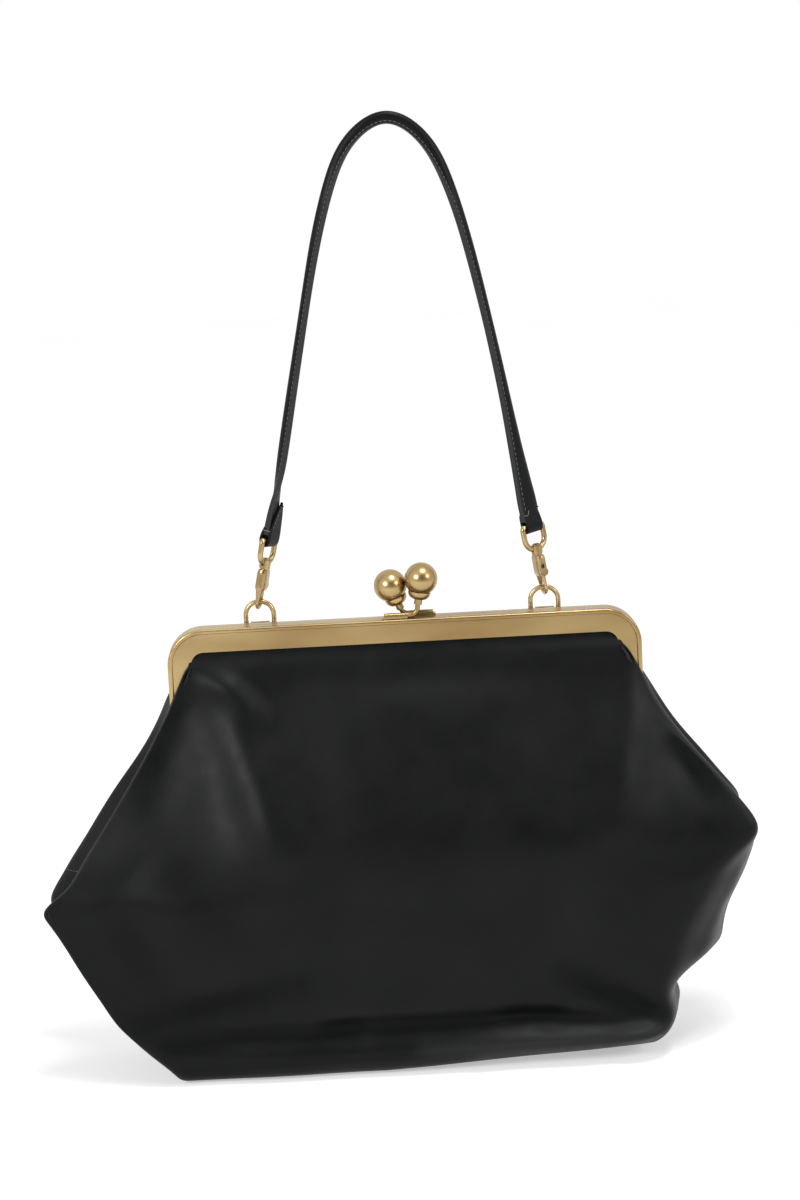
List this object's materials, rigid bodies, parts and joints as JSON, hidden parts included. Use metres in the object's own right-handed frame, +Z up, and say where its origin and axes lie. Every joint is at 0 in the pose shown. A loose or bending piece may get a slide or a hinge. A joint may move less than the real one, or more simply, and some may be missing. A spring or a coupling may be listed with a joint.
{
  "type": "kiss lock frame purse",
  "caption": "Soft leather frame purse with a hinged metal clasp frame, ball kiss lock and a folded leather shoulder strap held to rings by swivel snap hooks.",
  "frame": {"origin": "centre of the flat base's underside", "axes": "+X to the right seen from the front, +Y to the back, +Z up along the hanging height"},
  "size_m": [0.374, 0.092, 0.5038],
  "materials": {
    "frame_brass": "satin",
    "lock_brass": "satin",
    "hardware_brass": "satin",
    "spring_steel": "plain",
    "body_leather": "matte smooth",
    "strap_leather": "matte smooth",
    "lining_cloth": "plain weave",
    "paper_cord": "twisted paper"
  },
  "bodies": {
    "strap": {"strap": "strap_leather", "left_strap_end": "strap_leather", "right_strap_end": "strap_leather"},
    "bag": {"rear_frame": "frame_brass", "left_hinge_rivet": "frame_brass", "right_hinge_rivet": "frame_brass", "rear_frame_cord": "paper_cord", "rear_lock_plate": "lock_brass", "left_ring_lug": "hardware_brass", "right_ring_lug": "hardware_brass", "front_panel_fold": "body_leather", "front_panel_lower": "body_leather", "rear_panel": "body_leather", "left_gusset": "body_leather", "right_gusset": "body_leather", "base_panel": "body_leather", "lining": "lining_cloth"},
    "front_half": {"front_frame": "frame_brass", "front_frame_cord": "paper_cord", "front_panel_upper": "body_leather", "front_lock_plate": "lock_brass"},
    "front_knob": {"front_lock_stem": "lock_brass", "front_lock_collar": "lock_brass", "front_lock_ball": "lock_brass"},
    "rear_knob": {"rear_lock_stem": "lock_brass", "rear_lock_collar": "lock_brass", "rear_lock_ball": "lock_brass"},
    "left_eye": {"left_swivel_eye": "hardware_brass"},
    "left_hook": {"left_swivel_rivet": "hardware_brass", "left_hook_body": "hardware_brass", "left_gate_spring": "spring_steel"},
    "left_gate": {"left_gate_plunger": "hardware_brass", "left_gate_knob": "hardware_brass"},
    "left_ring": {"left_ring": "hardware_brass"},
    "right_eye": {"right_swivel_eye": "hardware_brass"},
    "right_hook": {"right_swivel_rivet": "hardware_brass", "right_hook_body": "hardware_brass", "right_gate_spring": "spring_steel"},
    "right_gate": {"right_gate_plunger": "hardware_brass", "right_gate_knob": "hardware_brass"},
    "right_ring": {"right_ring": "hardware_brass"}
  },
  "joints": [
    {"name": "left_eye_pivot", "type": "hinge", "parent": "strap", "child": "left_eye", "pos_m": [-0.06844, 0.009, 0.28345], "axis": [0.4888, 0.866, -0.1054], "range_deg": [-1.5, 1]},
    {"name": "left_hook_swivel", "type": "hinge", "parent": "left_eye", "child": "left_hook", "pos_m": [-0.07118, 0.009, 0.27074], "axis": [0.2108, 0, 0.9775], "range_deg": [-6, 10]},
    {"name": "left_gate_slide", "type": "slide", "parent": "left_hook", "child": "left_gate", "axis": [0.2108, 0, 0.9775], "range_m": [0, 0.0032], "stiffness_N_per_m": 300, "springref_m": -0.002, "deforming": ["left_gate_spring"]},
    {"name": "left_ring_pivot", "type": "hinge", "parent": "bag", "child": "left_ring", "pos_m": [-0.0755, 0.009, 0.2382], "axis": [1, 0, 0], "range_deg": [-25, 25]},
    {"name": "right_eye_pivot", "type": "hinge", "parent": "strap", "child": "right_eye", "pos_m": [0.07058, 0.009, 0.28384], "axis": [0.8103, 0.5736, 0.1203], "range_deg": [-1.5, 1.5]},
    {"name": "right_hook_swivel", "type": "hinge", "parent": "right_eye", "child": "right_hook", "pos_m": [0.07249, 0.009, 0.27098], "axis": [-0.1469, 0, 0.9891], "range_deg": [-10, 10]},
    {"name": "right_gate_slide", "type": "slide", "parent": "right_hook", "child": "right_gate", "axis": [-0.1469, 0, 0.9891], "range_m": [0, 0.0032], "stiffness_N_per_m": 300, "springref_m": -0.002, "deforming": ["right_gate_spring"]},
    {"name": "right_ring_pivot", "type": "hinge", "parent": "bag", "child": "right_ring", "pos_m": [0.0755, 0.009, 0.2382], "axis": [1, 0, 0], "range_deg": [-25, 25]},
    {"name": "bag_swing", "type": "hinge", "parent": "strap", "child": "bag", "pos_m": [0, 0.009, 0.2382], "axis": [1, 0, 0], "range_deg": [-25, 25]},
    {"name": "frame_open", "type": "hinge", "parent": "bag", "child": "front_half", "pos_m": [0, 0, 0.18], "axis": [1, 0, 0], "range_deg": [0, 75], "deforming": ["front_panel_fold"]},
    {"name": "front_knob_flex", "type": "hinge", "parent": "front_half", "child": "front_knob", "pos_m": [0.0022, -0.0031, 0.2402], "axis": [0, 1, 0], "range_deg": [0, 3], "stiffness_Nm_per_rad": 1, "springref_deg": -1.72},
    {"name": "rear_knob_flex", "type": "hinge", "parent": "bag", "child": "rear_knob", "pos_m": [0.0034, 0.0031, 0.2402], "axis": [0, -1, 0], "range_deg": [0, 3], "stiffness_Nm_per_rad": 1, "springref_deg": -1.72}
  ],
  "couplings": [
    {"joint": "left_ring_pivot", "follows": "bag_swing", "ratio": -1},
    {"joint": "right_ring_pivot", "follows": "bag_swing", "ratio": -1}
  ]
}
